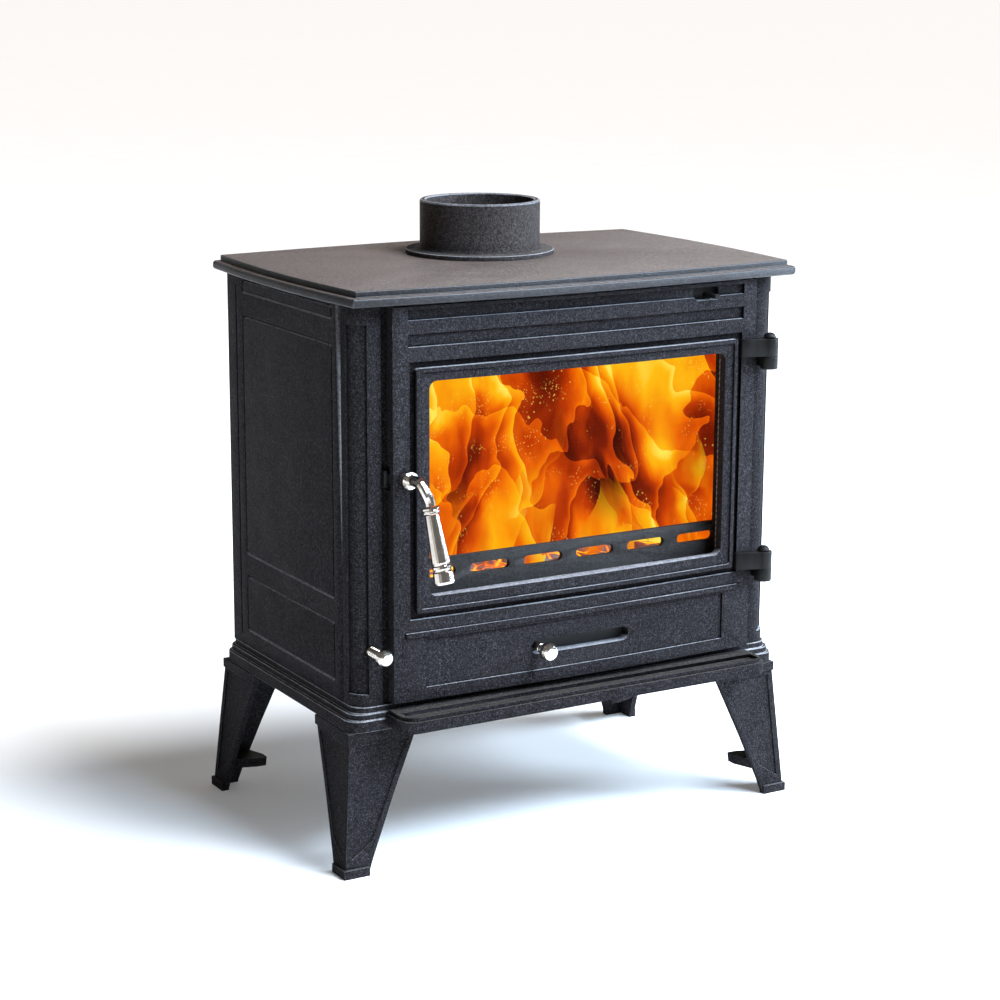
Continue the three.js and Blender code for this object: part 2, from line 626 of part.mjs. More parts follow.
function doorCasting() {
  const w = DOOR_HALF_WIDTH;
  const n = 14;
  const front = Array.from({ length: n + 1 }, (_, i) => -w + (2 * w * i) / n).map((x) => [x, doorFront(x)]);
  const plate = alongZ(shapeOf([...front, [w, DOOR_BACK], [-w, DOOR_BACK]]), DOOR_Z0, DOOR_Z1);
  const flange = alongY(roundedRect(-w, w, DOOR_Z0, DOOR_Z1, 1), DOOR_BACK - 1, DOOR_BACK + 6);
  const inside = alongY(roundedRect(-w + 4, w - 4, DOOR_Z0 + 3, DOOR_Z1 - 3, 3), DOOR_BACK, DOOR_BACK + 7);
  const rail = (z, lip) =>
    join(
      box(-100, 190, DOOR_BACK - 1, DOOR_BACK + 5, z, z + 3),
      box(-100, 190, DOOR_BACK + 3.4, DOOR_BACK + 5, z + Math.min(lip, 0), z + 3 + Math.max(lip, 0)),
    );
  const raised = join(
    plate, cut(flange, inside), doorRing(-RING.groove, BEAD_OUT, 4, RING.bead),
    onDoor(-w + 14, w - 19, 261.5, 267, BEAD_OUT, 4), rail(208, 3), rail(249, -3),
  );
  return cut(
    raised,
    doorRing(0, 4, RELIEF, RING.groove),
    onDoor(-RING.x - 1.5, RING.x + 1.5, 605.5, 616.8, 4, RELIEF),
    onDoor(-RING.x - 1.5, RING.x + 1.5, 577.2, 591, 4, RELIEF),
    onDoor(-194.5, 194.5, 204, 258.3, 4, RELIEF / 2),
    alongY(roundedRect(-WINDOW.x, WINDOW.x, WINDOW.z0, WINDOW.z1, WINDOW.corner), -200, DOOR_BACK + 1),
    alongY(
      roundedRect(-AIR_SLOT.x, AIR_SLOT.x, AIR_SLOT.z - AIR_SLOT.half, AIR_SLOT.z + AIR_SLOT.half, AIR_SLOT.half - 0.1),
      -200, DOOR_BACK + 1,
    ),
    alongY(
      roundedRect(AIRWASH_SLOT.x0, AIRWASH_SLOT.x1, AIRWASH_SLOT.z0, AIRWASH_SLOT.z1, AIRWASH_SLOT.corner),
      -200, DOOR_BACK + 1,
    ),
    cylinderY(SPINDLE.x, SPINDLE.z, -200, DOOR_BACK + 1, SPINDLE.r + 0.4, 20),
    box(-w - 1, -w + 5, DOOR_BACK, DOOR_BACK + 7, SPINDLE.z - 14, SPINDLE.z + 14),
  );
}

add("door_casting", doorCasting(), castIron, door);

// A flat ring that stands on the back of the door.
const backRing = (x, z0, z1, width, y0, y1, corner) =>
  cut(
    alongY(roundedRect(-x, x, z0, z1, corner), y0, y1),
    alongY(roundedRect(-x + width, x - width, z0 + width, z1 - width, corner - width / 2), y0 - 1, y1 + 1),
  );
add("door_rope_seal", backRing(207.5, 193.6, 592, 8, DOOR_BACK + GAP, FRAME_FRONT - GAP, 18), glassFibre, door);
add("glass_gasket", backRing(197, 298.5, 546.5, 5, DOOR_BACK + GAP, DOOR_BACK + 3.7, 7), glassFibre, door);
add("door_glass", alongY(roundedRect(-197.5, 197.5, 298, 547, 8), DOOR_BACK + 4, DOOR_BACK + 8), stoveGlass, door);

// Glass clips, above and below the pane, each with its screw.
const clipBack = DOOR_BACK + 8 + GAP;
const clip = (x, s, edge) => {
  const foot = [edge + s * GAP, edge + s * 11].sort((a, b) => a - b);
  const tongue = [edge - s * 6, edge + s * 11].sort((a, b) => a - b);
  return cut(
    join(
      box(x - 9, x + 9, DOOR_BACK + GAP, clipBack + 1, ...foot), box(x - 9, x + 9, clipBack, clipBack + 2, ...tongue),
    ),
    cylinderY(x, edge + s * 6, DOOR_BACK - 1, clipBack + 3, 2.6, 12),
  );
};
for (const [place, s, edge] of [["upper", 1, 547], ["lower", -1, 298]])
  for (const [hand, x] of [["left", -120], ["right", 120]]) {
    add(`glass_clip_${place}_${hand}`, clip(x, s, edge), sheetSteel, door);
    const z = edge + s * 6;
    add(
      `clip_screw_${place}_${hand}`,
      join(
        cylinderY(x, z, DOOR_BACK + GAP, clipBack + 3, 2.2, 12),
        cylinderY(x, z, clipBack + 2 + GAP, clipBack + 4.6, 4.4, 12),
      ),
      blackSteel, door,
    );
  }

// Hinge arms: an eye on the pin, and a strap that lies on the front of the door.
function hingeArm(z) {
  const z1 = z + 20;
  const eye = cylinderZ(HINGE.x, HINGE.y, z, z1, HINGE.eye);
  const left = HINGE.x - 34;
  const strap = alongZ(
    shapeOf([
      [left, doorFront(left) - GAP], [left + 18, doorFront(left + 18) - GAP], [left + 24, HINGE.y + 6],
      [HINGE.x, HINGE.y + 8], [HINGE.x, HINGE.y - 9.6], [left + 22, HINGE.y - 5], [left + 12, HINGE.y],
      [left + 3, HINGE.y + 3], [left, HINGE.y + 6],
    ].reverse()),
    z, z1,
  );
  return cut(join(eye, strap), cylinderZ(HINGE.x, HINGE.y, z - 1, z1 + 1, HINGE.pin + 0.4));
}
for (const [name, z] of Object.entries(HINGE_HEIGHTS)) add("hinge_arm_" + name, hingeArm(z), blackSteel, door);

// ---- Door handle: spindle and bent arm, collar, tapered grip, and the latch cam inside ----
const handle = new THREE.Group();
door.add(handle);

const COLLAR_AT = new THREE.Vector3(-210.5, -217, 414);
const GRIP_END = new THREE.Vector3(-202.5, -234, 334);

// Stands a turned piece, made from zero up Z, on a point so that its +Z runs down the grip.
function downTheGrip(geometry, along) {
  const axis = GRIP_END.clone().sub(COLLAR_AT).normalize();
  const turn = new THREE.Quaternion().setFromUnitVectors(new THREE.Vector3(0, 0, 1), axis);
  const at = COLLAR_AT.clone().addScaledVector(axis, along);
  return geometry.applyQuaternion(turn).translate(at.x, at.y, at.z);
}

function handleArm() {
  const boss = cylinderY(SPINDLE.x, SPINDLE.z, -187.5, doorFront(SPINDLE.x) - 0.6, 9.5);
  const spindle = cylinderY(SPINDLE.x, SPINDLE.z, -184, DOOR_BACK + 7.6, SPINDLE.r, 20);
  const axis = GRIP_END.clone().sub(COLLAR_AT).normalize();
  const onAxis = (along) => COLLAR_AT.clone().addScaledVector(axis, along).toArray();
  const bend = rodAlong(
    [
      [SPINDLE.x, -184, SPINDLE.z], [SPINDLE.x, -196, SPINDLE.z + 1.5], [SPINDLE.x + 1.2, -207, SPINDLE.z],
      [SPINDLE.x + 4, -213.5, SPINDLE.z - 9], onAxis(-6), onAxis(-1.2),
    ],
    6, 12, 14,
  );
  return join(boss, spindle, bend);
}

const gripLength = GRIP_END.distanceTo(COLLAR_AT);
add("handle_arm", handleArm(), nickel, handle);
add(
  "handle_collar",
  downTheGrip(
    turnedZ([[0, 0], [8.6, 0], [9.8, 1.2], [9.8, 3], [8.4, 4], [8.4, 4.6], [9.6, 5.4], [9.6, 6.8], [8.4, 7.8], [0, 7.8]], 24),
    -0.4,
  ),
  nickel, handle,
);
add(
  "handle_grip",
  downTheGrip(
    turnedZ([
      [0, 8.2], [7.4, 8.2], [10.2, 59], [9.4, 60.5], [9.4, 61.8], [10.4, 63], [10.5, 65.5], [9.6, 67], [9.6, 68],
      [10.8, 69.4], [11.6, gripLength - 2.5], [10.4, gripLength], [0, gripLength],
    ], 24),
    0,
  ),
  nickel, handle,
);
add(
  "latch_cam",
  cut(
    join(
      cylinderY(SPINDLE.x, SPINDLE.z, DOOR_BACK + 1, DOOR_BACK + 6, 8.5),
      box(-DOOR_HALF_WIDTH - 1.2, SPINDLE.x, DOOR_BACK + 1, DOOR_BACK + 6, SPINDLE.z - 5, SPINDLE.z + 5),
    ),
    cylinderY(SPINDLE.x, SPINDLE.z, DOOR_BACK, DOOR_BACK + 7, SPINDLE.r + 0.3, 20),
  ),
  blackSteel, handle,
);
add(
  "cam_retaining_ring",
  cut(
    cylinderY(SPINDLE.x, SPINDLE.z, DOOR_BACK + 6 + GAP, DOOR_BACK + 7.4, 8),
    cylinderY(SPINDLE.x, SPINDLE.z, DOOR_BACK + 6, DOOR_BACK + 8, SPINDLE.r + 0.3, 20),
  ),
  blackSteel, handle,
);

// ---- Air controls on the door ----
const airSlide = new THREE.Group();
const airwash = new THREE.Group();
door.add(airSlide, airwash);

add(
  "air_slide_plate",
  join(
    box(-72, 82, DOOR_BACK + GAP, DOOR_BACK + 3, 212, 248),
    cylinderY(AIR_SLOT.knobX, AIR_SLOT.z, doorFront(AIR_SLOT.knobX) - 1, DOOR_BACK + 1, 4, 16),
  ),
  sheetSteel, airSlide,
);
add(
  "air_knob",
  turnedKnob(10.3, 13).translate(AIR_SLOT.knobX, doorFront(AIR_SLOT.knobX) - 1 - GAP - 13, AIR_SLOT.z),
  nickel, airSlide,
);
add(
  "airwash_slide",
  join(
    box(112, 196, DOOR_BACK + GAP, DOOR_BACK + 2.6, 597, 616),
    alongY(roundedRect(165, 172, 604, 609, 1.5), -191, DOOR_BACK + 1),
  ),
  blackSteel, airwash,
);

// Centre the whole footprint on the origin.
const bounds = new THREE.Box3().setFromObject(stove);
stove.position.set(-(bounds.min.x + bounds.max.x) / 2, -(bounds.min.y + bounds.max.y) / 2, 0);

export default stove;
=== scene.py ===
"""A wood burning stove's looks: materials, worn edges, the fire behind the glass, floor, lights and camera.

Lengths are in metres, in the CAD model's own frame.
"""

import json
import math

import bmesh
import bpy
from mathutils import Matrix, Vector, noise


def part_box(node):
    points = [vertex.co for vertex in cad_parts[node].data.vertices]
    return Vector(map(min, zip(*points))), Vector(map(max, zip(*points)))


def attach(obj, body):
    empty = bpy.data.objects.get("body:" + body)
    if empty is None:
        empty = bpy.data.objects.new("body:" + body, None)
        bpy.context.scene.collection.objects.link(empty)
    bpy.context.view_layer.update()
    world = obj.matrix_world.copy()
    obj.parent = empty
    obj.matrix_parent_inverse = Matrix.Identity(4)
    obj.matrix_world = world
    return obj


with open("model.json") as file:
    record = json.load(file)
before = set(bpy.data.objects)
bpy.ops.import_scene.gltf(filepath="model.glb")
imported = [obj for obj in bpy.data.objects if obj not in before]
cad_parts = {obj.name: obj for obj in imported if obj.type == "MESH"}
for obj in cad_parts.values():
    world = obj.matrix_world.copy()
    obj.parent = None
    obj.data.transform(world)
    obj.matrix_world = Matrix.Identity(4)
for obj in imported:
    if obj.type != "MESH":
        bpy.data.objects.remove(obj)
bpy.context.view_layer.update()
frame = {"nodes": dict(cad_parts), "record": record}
nodes = frame["nodes"]


def linked(name, data):
    """A new object that holds the data, in the scene."""
    o = bpy.data.objects.new(name, data)
    bpy.context.scene.collection.objects.link(o)
    return o


# ---- Camera: its three axes and its place, seen from the front left and a little above ----
CAMERA_RIGHT = Vector((0.86471, -0.50224, 0.00481))
CAMERA_UP = Vector((0.10867, 0.19642, 0.97448))
CAMERA_BACK = Vector((-0.49037, -0.84212, 0.22443))
CAMERA_PLACE = Vector((-1.39496, -2.36823, 0.99299))
LENS_MM = 87.52
SENSOR_MM = 36.0

cam_data = bpy.data.cameras.new("camera")
cam_data.lens, cam_data.sensor_width = LENS_MM, SENSOR_MM
cam_data.clip_start, cam_data.clip_end = 0.05, 300.0
camera = linked("camera", cam_data)
camera.matrix_world = Matrix([*zip(CAMERA_RIGHT, CAMERA_UP, CAMERA_BACK, CAMERA_PLACE), (0, 0, 0, 1)])
bpy.context.scene.camera = camera


# ---- Material helpers ----
class Tree:
    """A material's nodes, each made in one call: inputs by name or index take a value or another socket."""

    def __init__(self, name):
        self.mat = bpy.data.materials.new(name)
        self.mat.use_nodes = True
        self.nt = self.mat.node_tree
        self.nt.nodes.clear()

    def fill(self, socket, value):
        """Links a socket to another one, or sets its value."""
        if isinstance(value, bpy.types.NodeSocket):
            self.nt.links.new(value, socket)
        else:
            socket.default_value = value

    def node(self, kind, inputs=None, **settings):
        """A node of the kind. The settings come first, because some of them change its sockets."""
        n = self.nt.nodes.new(kind)
        for key, value in settings.items():
            setattr(n, key, value)
        for key, value in (inputs or {}).items():
            self.fill(n.inputs[key], value)
        return n

    def coords(self, scale=(1, 1, 1), offset=(0, 0, 0)):
        """The point in the object's own metres, scaled and then moved."""
        point = self.node("ShaderNodeTexCoord").outputs["Object"]
        inputs = {"Vector": point, "Scale": scale, "Location": offset}
        return self.node("ShaderNodeMapping", inputs).outputs[0]

    def noise(self, vector, scale, detail=2.0, rough=0.5, distortion=0.0, kind="FBM"):
        """Soft noise, mostly from 0.3 to 0.7."""
        inputs = {"Vector": vector, "Scale": scale, "Detail": detail, "Roughness": rough}
        inputs["Distortion"] = distortion
        return self.node("ShaderNodeTexNoise", inputs, noise_type=kind).outputs[0]

    def cells(self, vector, scale, feature="F1"):
        """The distance to the nearest cell's middle, or to its edge with feature DISTANCE_TO_EDGE."""
        n = self.node("ShaderNodeTexVoronoi", {"Vector": vector, "Scale": scale}, feature=feature)
        return n.outputs["Distance"]

    def remap(self, value, lo, hi, to_lo=0.0, to_hi=1.0):
        """The value stretched from lo..hi to to_lo..to_hi, and held at those ends."""
        inputs = {"Value": value, "From Min": lo, "From Max": hi, "To Min": to_lo, "To Max": to_hi}
        return self.node("ShaderNodeMapRange", inputs).outputs[0]

    def math(self, op, a, b=0.0, c=0.0):
        return self.node("ShaderNodeMath", {0: a, 1: b, 2: c}, operation=op).outputs[0]

    def vector_math(self, op, a, b):
        return self.node("ShaderNodeVectorMath", {0: a, 1: b}, operation=op).outputs[0]

    def mix(self, factor, a, b, blend="MIX"):
        """One colour mixed into another. The colour inputs of a Mix node are its numbers 6 and 7."""
        n = self.node("ShaderNodeMix", data_type="RGBA", blend_type=blend)
        for index, value in ((0, factor), (6, a), (7, b)):
            self.fill(n.inputs[index], value)
        return n.outputs[2]

    def dimmed(self, colour, level):
        """The colour times a level."""
        grey = self.node("ShaderNodeCombineColor", {0: level, 1: level, 2: level}).outputs[0]
        return self.mix(1.0, colour, grey, "MULTIPLY")

    def ramp(self, value, stops):
        """The colour at a value, between stops of (value, colour)."""
        n = self.node("ShaderNodeValToRGB", {"Fac": value})
        points = n.color_ramp.elements
        while len(points) < len(stops):
            points.new(0.5)
        for point, (at, colour) in zip(points, stops):
            point.position, point.color = at, colour
        return n.outputs[0]

    def bump(self, height, distance, strength=1.0, normal=None):
        """A bumped normal, on top of another one if it is given."""
        inputs = {"Height": height, "Distance": distance, "Strength": strength}
        if normal is not None:
            inputs["Normal"] = normal
        return self.node("ShaderNodeBump", inputs).outputs[0]

    def surface(self, **inputs):
        """Ends the tree in a Principled shader and gives the material. Names have underscores for spaces."""
        named = {key.replace("_", " "): value for key, value in inputs.items()}
        shader = self.node("ShaderNodeBsdfPrincipled", named).outputs[0]
        self.node("ShaderNodeOutputMaterial", {"Surface": shader})
        return self.mat


def srgb(r, g, b):
    """A linear colour with alpha, from 0-255 display values."""
    shares = (c / 255 for c in (r, g, b))
    return (*(s / 12.92 if s <= 0.04045 else ((s + 0.055) / 1.055) ** 2.4 for s in shares), 1)


# ---- Materials ----
# How far the occlusion mask that paints shade into the hollows reaches.
PAINTED_SHADE_REACH = 0.012


def cast_iron(
    name, base, dust, upward=None, up_from=0.8, rough=0.6, grain=1.0, dust_amount=0.4, specular=0.03
):
    """Painted sand-cast iron: sandy grain, slow unevenness, pits, pale dust on the grain, and dark hollows.

    The dark hollows are painted shade: an occlusion mask darkens their colour and dims their reflections.

    upward gives another (base, dust) pair for the faces that look up, which starts where the height of their
    normal is up_from. The hollows of those faces get none of the painted shade.
    """
    t = Tree(name)
    at = t.coords()
    fine = t.noise(at, 860.0, 2.0, 0.6)
    sand = t.noise(at, 250.0, 4.0, 0.65)
    waves = t.noise(at, 22.0, 3.0, 0.5)
    pits = t.cells(at, 210.0)

    # Painted shade: an occlusion mask darkens the colour and dims the reflections in hollows and grooves.
    hollow = t.node("ShaderNodeAmbientOcclusion", {"Distance": PAINTED_SHADE_REACH}, samples=6, only_local=True)
    open_to_light = t.remap(hollow.outputs["AO"], 0.4, 0.95, 0.15, 1.0)
    # Faces that look up take the upward tones and are kept out of the painted shade of the hollows.
    if upward:
        facing = t.node("ShaderNodeSeparateXYZ", {0: t.node("ShaderNodeTexCoord").outputs["Normal"]})
        up = t.remap(facing.outputs[2], up_from, up_from * 0.5 + 0.5)
        base, dust = t.mix(up, base, upward[0]), t.mix(up, dust, upward[1])
        open_to_light = t.math("MAXIMUM", open_to_light, up)

    tone = t.math("MULTIPLY", t.remap(sand, 0.35, 0.68, 0.6, 1.5), t.remap(fine, 0.34, 0.66, 0.45, 1.6))
    tone = t.math("MULTIPLY", tone, t.remap(waves, 0.3, 0.7, 0.88, 1.12))
    speck = t.remap(t.noise(at, 600.0, 2.0, 0.7), 0.52, 0.7, 0.0, dust_amount)
    colour = t.dimmed(t.mix(speck, t.dimmed(base, tone), dust), open_to_light)

    height = t.math("MULTIPLY_ADD", fine, 0.5, sand)
    height = t.math("ADD", height, t.remap(pits, 0.0, 0.22, -0.35, 0.0))
    slow = t.bump(waves, 0.0012, 0.35)
    return t.surface(
        Base_Color=colour,
        Roughness=t.remap(t.math("ADD", sand, waves), 0.7, 1.3, rough - 0.08, rough + 0.12),
        Specular_IOR_Level=t.math("MULTIPLY", open_to_light, specular),
        Normal=t.bump(height, 0.0009 * grain, 0.9, slow),
    )


def black_steel():
    """Satin black forged steel, with faint smears and a darker brown cast."""
    t = Tree("black_steel")
    smear = t.noise(t.coords((1, 1, 0.25)), 120.0, 4.0, 0.6)
    dimple = t.noise(t.coords(), 300.0, 2.0)
    colour = t.mix(t.remap(smear, 0.35, 0.7), srgb(13, 12, 12), srgb(28, 26, 25))
    return t.surface(
        Base_Color=colour, Roughness=t.remap(smear, 0.3, 0.7, 0.42, 0.58), Specular_IOR_Level=0.14,
        Normal=t.bump(dimple, 0.0003, 0.5),
    )


def sheet_steel():
    """Dull rolled sheet with fine drawn lines and heat tint."""
    t = Tree("sheet_steel")
    lines = t.noise(t.coords((1, 18, 18)), 90.0, 3.0, 0.6)
    tint = t.noise(t.coords(), 14.0, 3.0)
    colour = t.mix(t.remap(tint, 0.35, 0.7), srgb(28, 27, 27), srgb(19, 18, 17))
    return t.surface(
        Base_Color=colour, Roughness=t.remap(lines, 0.3, 0.7, 0.45, 0.6), Specular_IOR_Level=0.2,
        Normal=t.bump(lines, 0.0001, 0.4),
    )


def nickel():
    """Polished nickel plate with faint fingerprints and polishing lines."""
    t = Tree("nickel")
    print_marks = t.noise(t.coords(), 160.0, 4.0, 0.65)
    polish = t.noise(t.coords((40, 40, 2)), 60.0, 2.0)
    colour = t.mix(t.remap(print_marks, 0.3, 0.75), srgb(226, 219, 210), srgb(196, 188, 180))
    return t.surface(
        Base_Color=colour, Metallic=1.0, Roughness=t.remap(print_marks, 0.35, 0.7, 0.1, 0.24),
        Normal=t.bump(polish, 0.00003, 0.4),
    )


def fire_brick():
    """Pale refractory board, crumbly and sooted."""
    t = Tree("fire_brick")
    crumb = t.noise(t.coords(), 180.0, 5.0, 0.7)
    soot = t.noise(t.coords(), 9.0, 4.0, 0.6)
    colour = t.mix(t.remap(soot, 0.38, 0.62), srgb(168, 148, 120), srgb(44, 36, 30))
    colour = t.mix(t.remap(crumb, 0.45, 0.75, 0.0, 0.5), colour, srgb(196, 180, 152))
    return t.surface(
        Base_Color=colour, Roughness=t.remap(crumb, 0.2, 0.8, 0.82, 1.0), Normal=t.bump(crumb, 0.0012, 0.8),
    )


def glass_fibre():
    """Woven glass-fibre rope: yarns that slant both ways, as a weave bump."""
    t = Tree("glass_fibre")
    yarns = [
        t.node(
            "ShaderNodeTexWave",
            {"Vector": t.coords((mirror, 1, 1)), "Scale": 90.0, "Distortion": 1.5},
            bands_direction="DIAGONAL",
        ).outputs["Fac"]
        for mirror in (1, -1)
    ]
    weave = t.math("MAXIMUM", *yarns)
    return t.surface(
        Base_Color=t.mix(weave, srgb(74, 70, 66), srgb(138, 132, 124)),
        Roughness=t.remap(t.noise(t.coords(), 400.0), 0.2, 0.8, 0.9, 1.0),
        Normal=t.bump(weave, 0.0008, 0.9),
    )


def stove_glass():
    """Clear ceramic glass with a breath of smoke haze."""
    t = Tree("stove_glass")
    haze = t.noise(t.coords(), 11.0, 4.0, 0.6)
    return t.surface(
        Base_Color=srgb(40, 26, 16), Roughness=t.remap(haze, 0.3, 0.7, 0.03, 0.09),
        Alpha=t.remap(haze, 0.35, 0.75, 0.02, 0.05), Specular_IOR_Level=0.05,
    )


# ---- Materials of the fire ----
FLAME_STOPS = [
    (0.0, srgb(58, 6, 2)),
    (0.17, srgb(118, 26, 4)),
    (0.34, srgb(188, 56, 3)),
    (0.5, srgb(232, 98, 3)),
    (0.66, srgb(247, 142, 6)),
    (0.84, srgb(253, 186, 18)),
    (1.0, srgb(255, 226, 84)),
]
FLAME_STRETCH = 0.72


def push_about(t, vector, scale, amount, seed):
    """The coordinates pushed about by a slow noise, amount metres at most."""
    moved = t.vector_math("ADD", vector, (seed, -seed, seed * 0.6))
    push = t.node("ShaderNodeTexNoise", {"Vector": moved, "Scale": scale, "Detail": 2.5}).outputs["Color"]
    push = t.vector_math("SUBTRACT", push, (0.5, 0.5, 0.5))
    return t.vector_math("ADD", vector, t.vector_math("MULTIPLY", push, (amount * 2,) * 3))


def curtain(t, vector, scale, tilt):
    """Folds of flame across the sheet, each with one sharp edge."""
    inputs = {
        "Vector": t.node("ShaderNodeMapping", {"Vector": vector, "Rotation": (0, tilt, 0)}).outputs[0],
        "Scale": scale, "Distortion": 5.0, "Detail": 1.5, "Detail Scale": 1.4, "Detail Roughness": 0.4,
    }
    return t.node("ShaderNodeTexWave", inputs, wave_profile="SAW").outputs["Fac"]


def flame_heat(t, seed, dark, bright):
    """How hot the flame is at each point: broad bodies, thin strands, folded curtains, streaks and spots."""
    at = t.coords((1, 1, FLAME_STRETCH), (seed, 0, seed * 0.5))
    warped = push_about(t, push_about(t, at, 5.0, 0.11, seed), 16.0, 0.036, seed + 3)
    bodies = t.noise(warped, 9.0, 1.0, 0.4)
    strands = t.noise(warped, 8.0, 1.0, 0.4, 0.2, "RIDGED_MULTIFRACTAL")
    heat = t.math("ADD", t.remap(bodies, 0.32, 0.68, 0.0, 0.72), t.remap(strands, 0.9, 1.6, -0.04, 0.22))
    for scale, tilt, amount in ((2.6, 0.25, 0.11), (5.5, -0.6, 0.08), (4.2, 1.1, 0.06)):
        fold = curtain(t, warped, scale, tilt)
        rim = t.remap(fold, 0.82, 1.0, 0.0, amount * 1.5)
        heat = t.math("ADD", heat, t.math("ADD", t.remap(fold, 0.0, 1.0, -amount, amount), rim))
    drawn_up = push_about(t, t.coords((1, 1, 0.3), (seed, 0, 0)), 12.0, 0.05, seed)
    heat = t.math("ADD", heat, t.remap(t.noise(drawn_up, 60.0, 2.0), 0.35, 0.65, -0.03, 0.03))

    place = t.node("ShaderNodeSeparateXYZ", {0: t.coords()})
    for spots, sign in ((dark, -1), (bright, 1)):
        for x, z, radius, amount in spots:
            dx = t.math("SUBTRACT", place.outputs[0], x)
            dz = t.math("SUBTRACT", place.outputs[2], z)
            squared = t.math("ADD", t.math("MULTIPLY", dx, dx), t.math("MULTIPLY", dz, dz))
            fall = t.math("EXPONENT", t.math("DIVIDE", squared, -radius * radius))
            heat = t.math("MULTIPLY_ADD", fall, sign * amount, heat)
    return heat


def leaf_fade(t):
    """1 in the middle of a flame's foot, falling to 0 at its sides and its tip."""
    place = t.node("ShaderNodeSeparateXYZ", {0: t.node("ShaderNodeTexCoord").outputs["Generated"]})
    off_centre = t.math("ABSOLUTE", t.math("SUBTRACT", place.outputs[0], 0.5))
    to_tip = t.remap(place.outputs[2], 0.35, 0.92, 1.0, 0.0)
    return t.math("MULTIPLY", t.remap(off_centre, 0.2, 0.46, 1.0, 0.0), to_tip)


def with_sparks(t, colour):
    """The colour with two sizes of bright sparks on it, in patches."""
    for scale, size, cover in ((200.0, 0.13, 0.57), (380.0, 0.17, 0.55)):
        dots = t.remap(t.cells(t.coords((1, 1, FLAME_STRETCH)), scale), size, size * 1.5, 1.0, 0.0)
        patches = t.remap(t.noise(t.coords(offset=(scale, 0, 0)), 30.0, 3.0), cover, cover + 0.06)
        lit = t.math("MULTIPLY", t.math("MULTIPLY", dots, patches), 0.7)
        colour = t.mix(lit, colour, srgb(255, 214, 90))
    return colour


def fire_sheet(name, seed, dark=(), bright=(), base=0.0, strength=1.0, see_through=False):
    """A glowing sheet of flame. dark and bright are (x, z, radius, amount) spots in the firebox."""
    t = Tree(name)
    heat = t.math("ADD", flame_heat(t, seed, dark, bright), base)
    colour = t.ramp(heat, FLAME_STOPS)
    look = {"Base_Color": srgb(10, 4, 2), "Roughness": 1.0, "Specular_IOR_Level": 0.0}
    if see_through:
        look["Alpha"] = t.math("MULTIPLY", t.remap(heat, 0.3, 0.56, 0.0, 0.9), leaf_fade(t))
    else:
        colour = with_sparks(t, colour)
    return t.surface(Emission_Color=colour, Emission_Strength=strength, **look)


def charred_wood():
    """Burning log: black cracked bark, glowing in the cracks."""
    t = Tree("charred_wood")
    at = t.coords((1, 2.4, 2.4))
    bark = t.cells(at, 46.0, "DISTANCE_TO_EDGE")
    heat = t.remap(t.noise(at, 14.0, 3.0), 0.42, 0.66)
    glow = t.math("MULTIPLY", t.remap(bark, 0.0, 0.09, 1.0, 0.0), heat)
    colour = t.mix(t.remap(t.noise(at, 60.0, 4.0), 0.4, 0.7), srgb(22, 18, 16), srgb(72, 62, 56))
    return t.surface(
        Base_Color=colour, Roughness=0.95, Emission_Color=t.ramp(glow, FLAME_STOPS[1:5]),
        Emission_Strength=t.math("MULTIPLY", glow, 2.0), Normal=t.bump(bark, 0.004, 0.8),
    )


def ember_bed():
    """Ash and glowing coals."""
    t = Tree("ember_bed")
    coals = t.cells(t.coords(), 52.0, "DISTANCE_TO_EDGE")
    patches = t.remap(t.noise(t.coords(), 18.0, 3.0), 0.35, 0.6)
    glow = t.math("MULTIPLY", t.remap(coals, 0.0, 0.2, 1.0, 0.1), patches)
    colour = t.mix(t.remap(coals, 0.0, 0.3), srgb(30, 24, 22), srgb(120, 110, 104))
    return t.surface(
        Base_Color=colour, Roughness=0.95, Emission_Color=t.ramp(glow, FLAME_STOPS[1:6]),
        Emission_Strength=t.math("MULTIPLY", glow, 2.2), Normal=t.bump(coals, 0.004, 0.7),
    )


